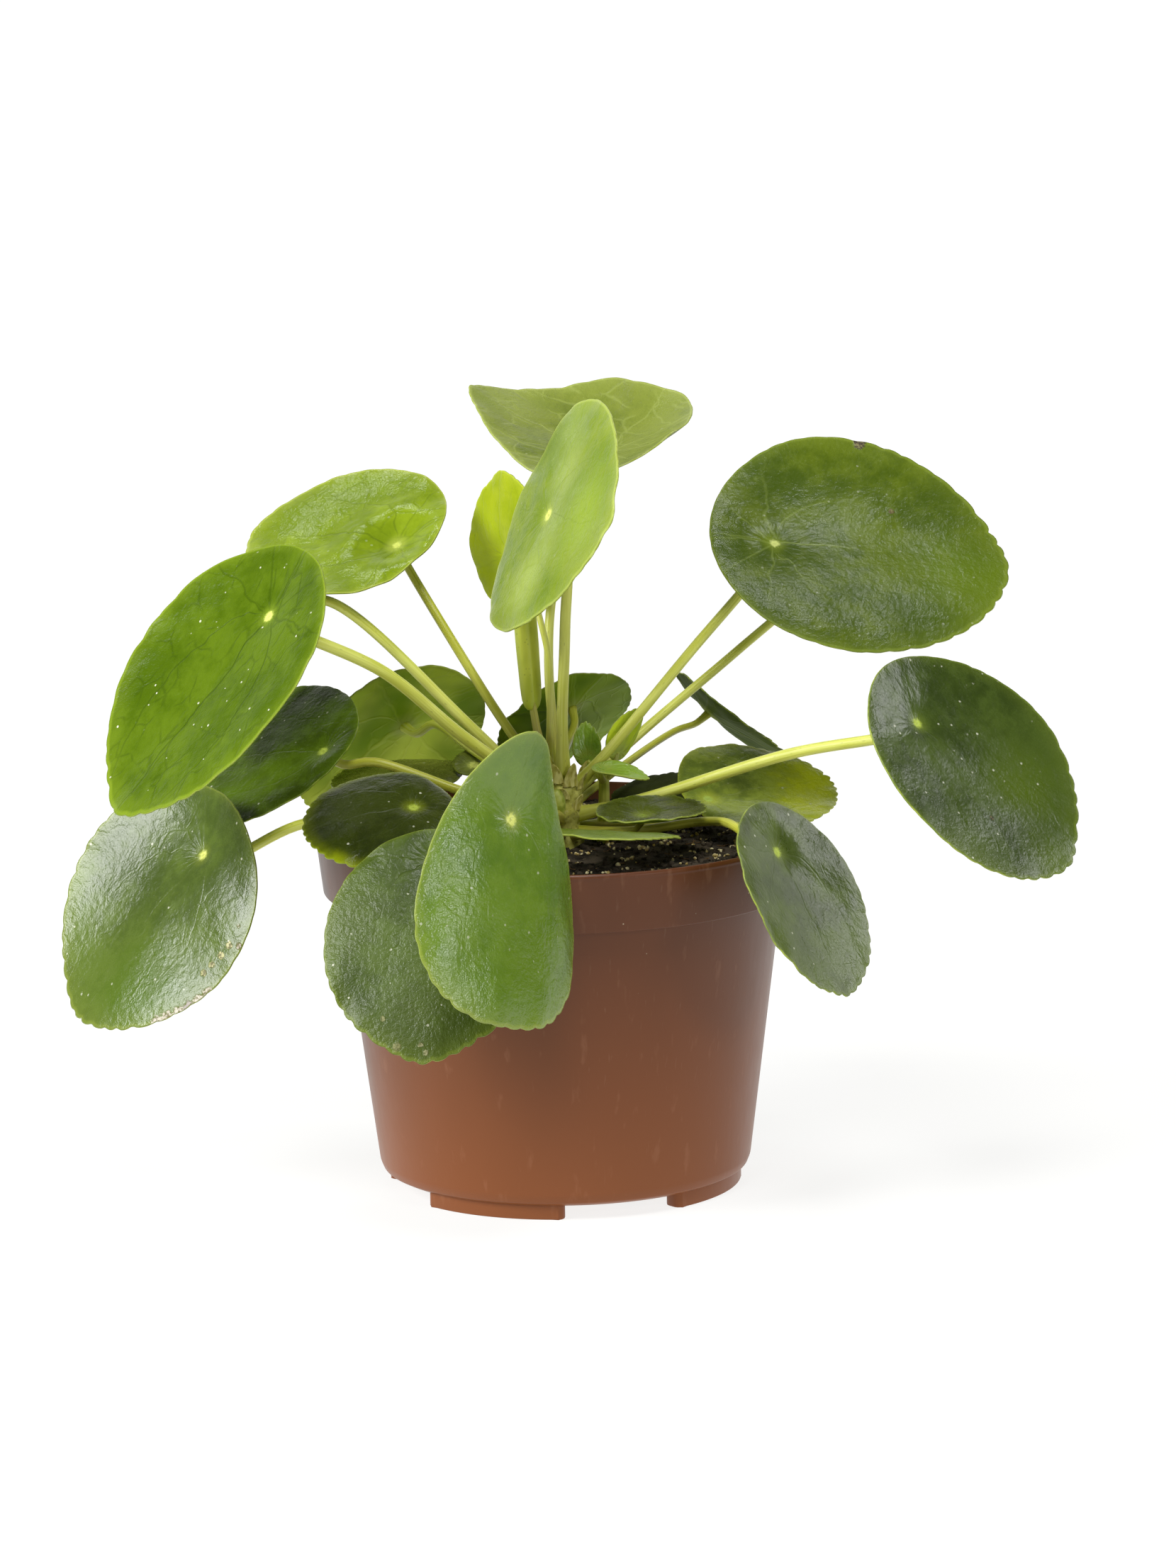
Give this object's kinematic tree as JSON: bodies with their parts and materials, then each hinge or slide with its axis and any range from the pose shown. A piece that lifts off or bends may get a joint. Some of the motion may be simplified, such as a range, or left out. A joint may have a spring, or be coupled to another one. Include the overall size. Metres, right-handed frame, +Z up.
{
  "type": "potted chinese money plant",
  "caption": "Potted house plant with round, coin-like leaves, each on a long stalk from a short woody stem, growing in a tapered plastic nursery pot filled with soil.",
  "frame": {"origin": "on the ground, at the middle of the pot's base", "axes": "+Z up, +X to the viewer's right and -Y towards the viewer, as the plant is seen from the front"},
  "size_m": [0.2482, 0.1986, 0.1945],
  "materials": {
    "pot": "smooth satin moulded plastic, terracotta brown",
    "soil": "dark crumbly potting soil with pale grains",
    "stem": "green-brown bark with papery scales",
    "stalk": "smooth yellow-green fleshy stalk",
    "leaf_young": "bright lime green, satin, thinly fleshy",
    "leaf_mature": "mid green, glossy, with a faint vein pattern",
    "leaf_old": "dark green, satin, slightly dusty",
    "leaf_rolled": "yellow-green, satin",
    "shoot": "fresh green, satin"
  },
  "bodies": {
    "root": {"pot": "pot", "soil": "soil", "stem": "stem", "stalk_top_front": "stalk", "leaf_top_front": "leaf_young", "stalk_top_back": "stalk", "leaf_top_back": "leaf_young", "stalk_top_young": "stalk", "leaf_top_young": "leaf_young", "stalk_left_upper": "stalk", "leaf_left_upper": "leaf_young", "stalk_left_large": "stalk", "leaf_left_large": "leaf_young", "stalk_left_hidden": "stalk", "leaf_left_hidden": "leaf_mature", "stalk_left_dark": "stalk", "leaf_left_dark": "leaf_old", "stalk_back_left": "stalk", "leaf_back_left": "leaf_mature", "stalk_left_low_dark": "stalk", "leaf_left_low_dark": "leaf_old", "stalk_left_lower": "stalk", "leaf_left_lower": "leaf_mature", "stalk_back_low_dark": "stalk", "leaf_back_low_dark": "leaf_old", "stalk_back_low_small": "stalk", "leaf_back_low_small": "leaf_old", "stalk_front_left": "stalk", "leaf_front_left": "leaf_mature", "stalk_front_centre": "stalk", "leaf_front_centre": "leaf_mature", "stalk_back_centre": "stalk", "leaf_back_centre": "leaf_old", "stalk_back_hidden": "stalk", "leaf_back_hidden": "leaf_old", "stalk_right_upper": "stalk", "leaf_right_upper": "leaf_old", "stalk_right_hidden": "stalk", "leaf_right_hidden": "leaf_mature", "stalk_right_lower": "stalk", "leaf_right_lower": "leaf_old", "stalk_right_low": "stalk", "leaf_right_low": "leaf_mature", "stalk_front_right": "stalk", "leaf_front_right": "leaf_mature", "stalk_right_edge_on": "stalk", "leaf_right_edge_on": "leaf_old", "stalk_centre_low": "stalk", "leaf_centre_low": "leaf_old", "stalk_back_right_low": "stalk", "leaf_back_right_low": "leaf_old", "stalk_front_low": "stalk", "leaf_front_low": "leaf_mature", "leaf_rolled": "leaf_rolled", "side_shoot": "shoot"}
  },
  "joints": []
}
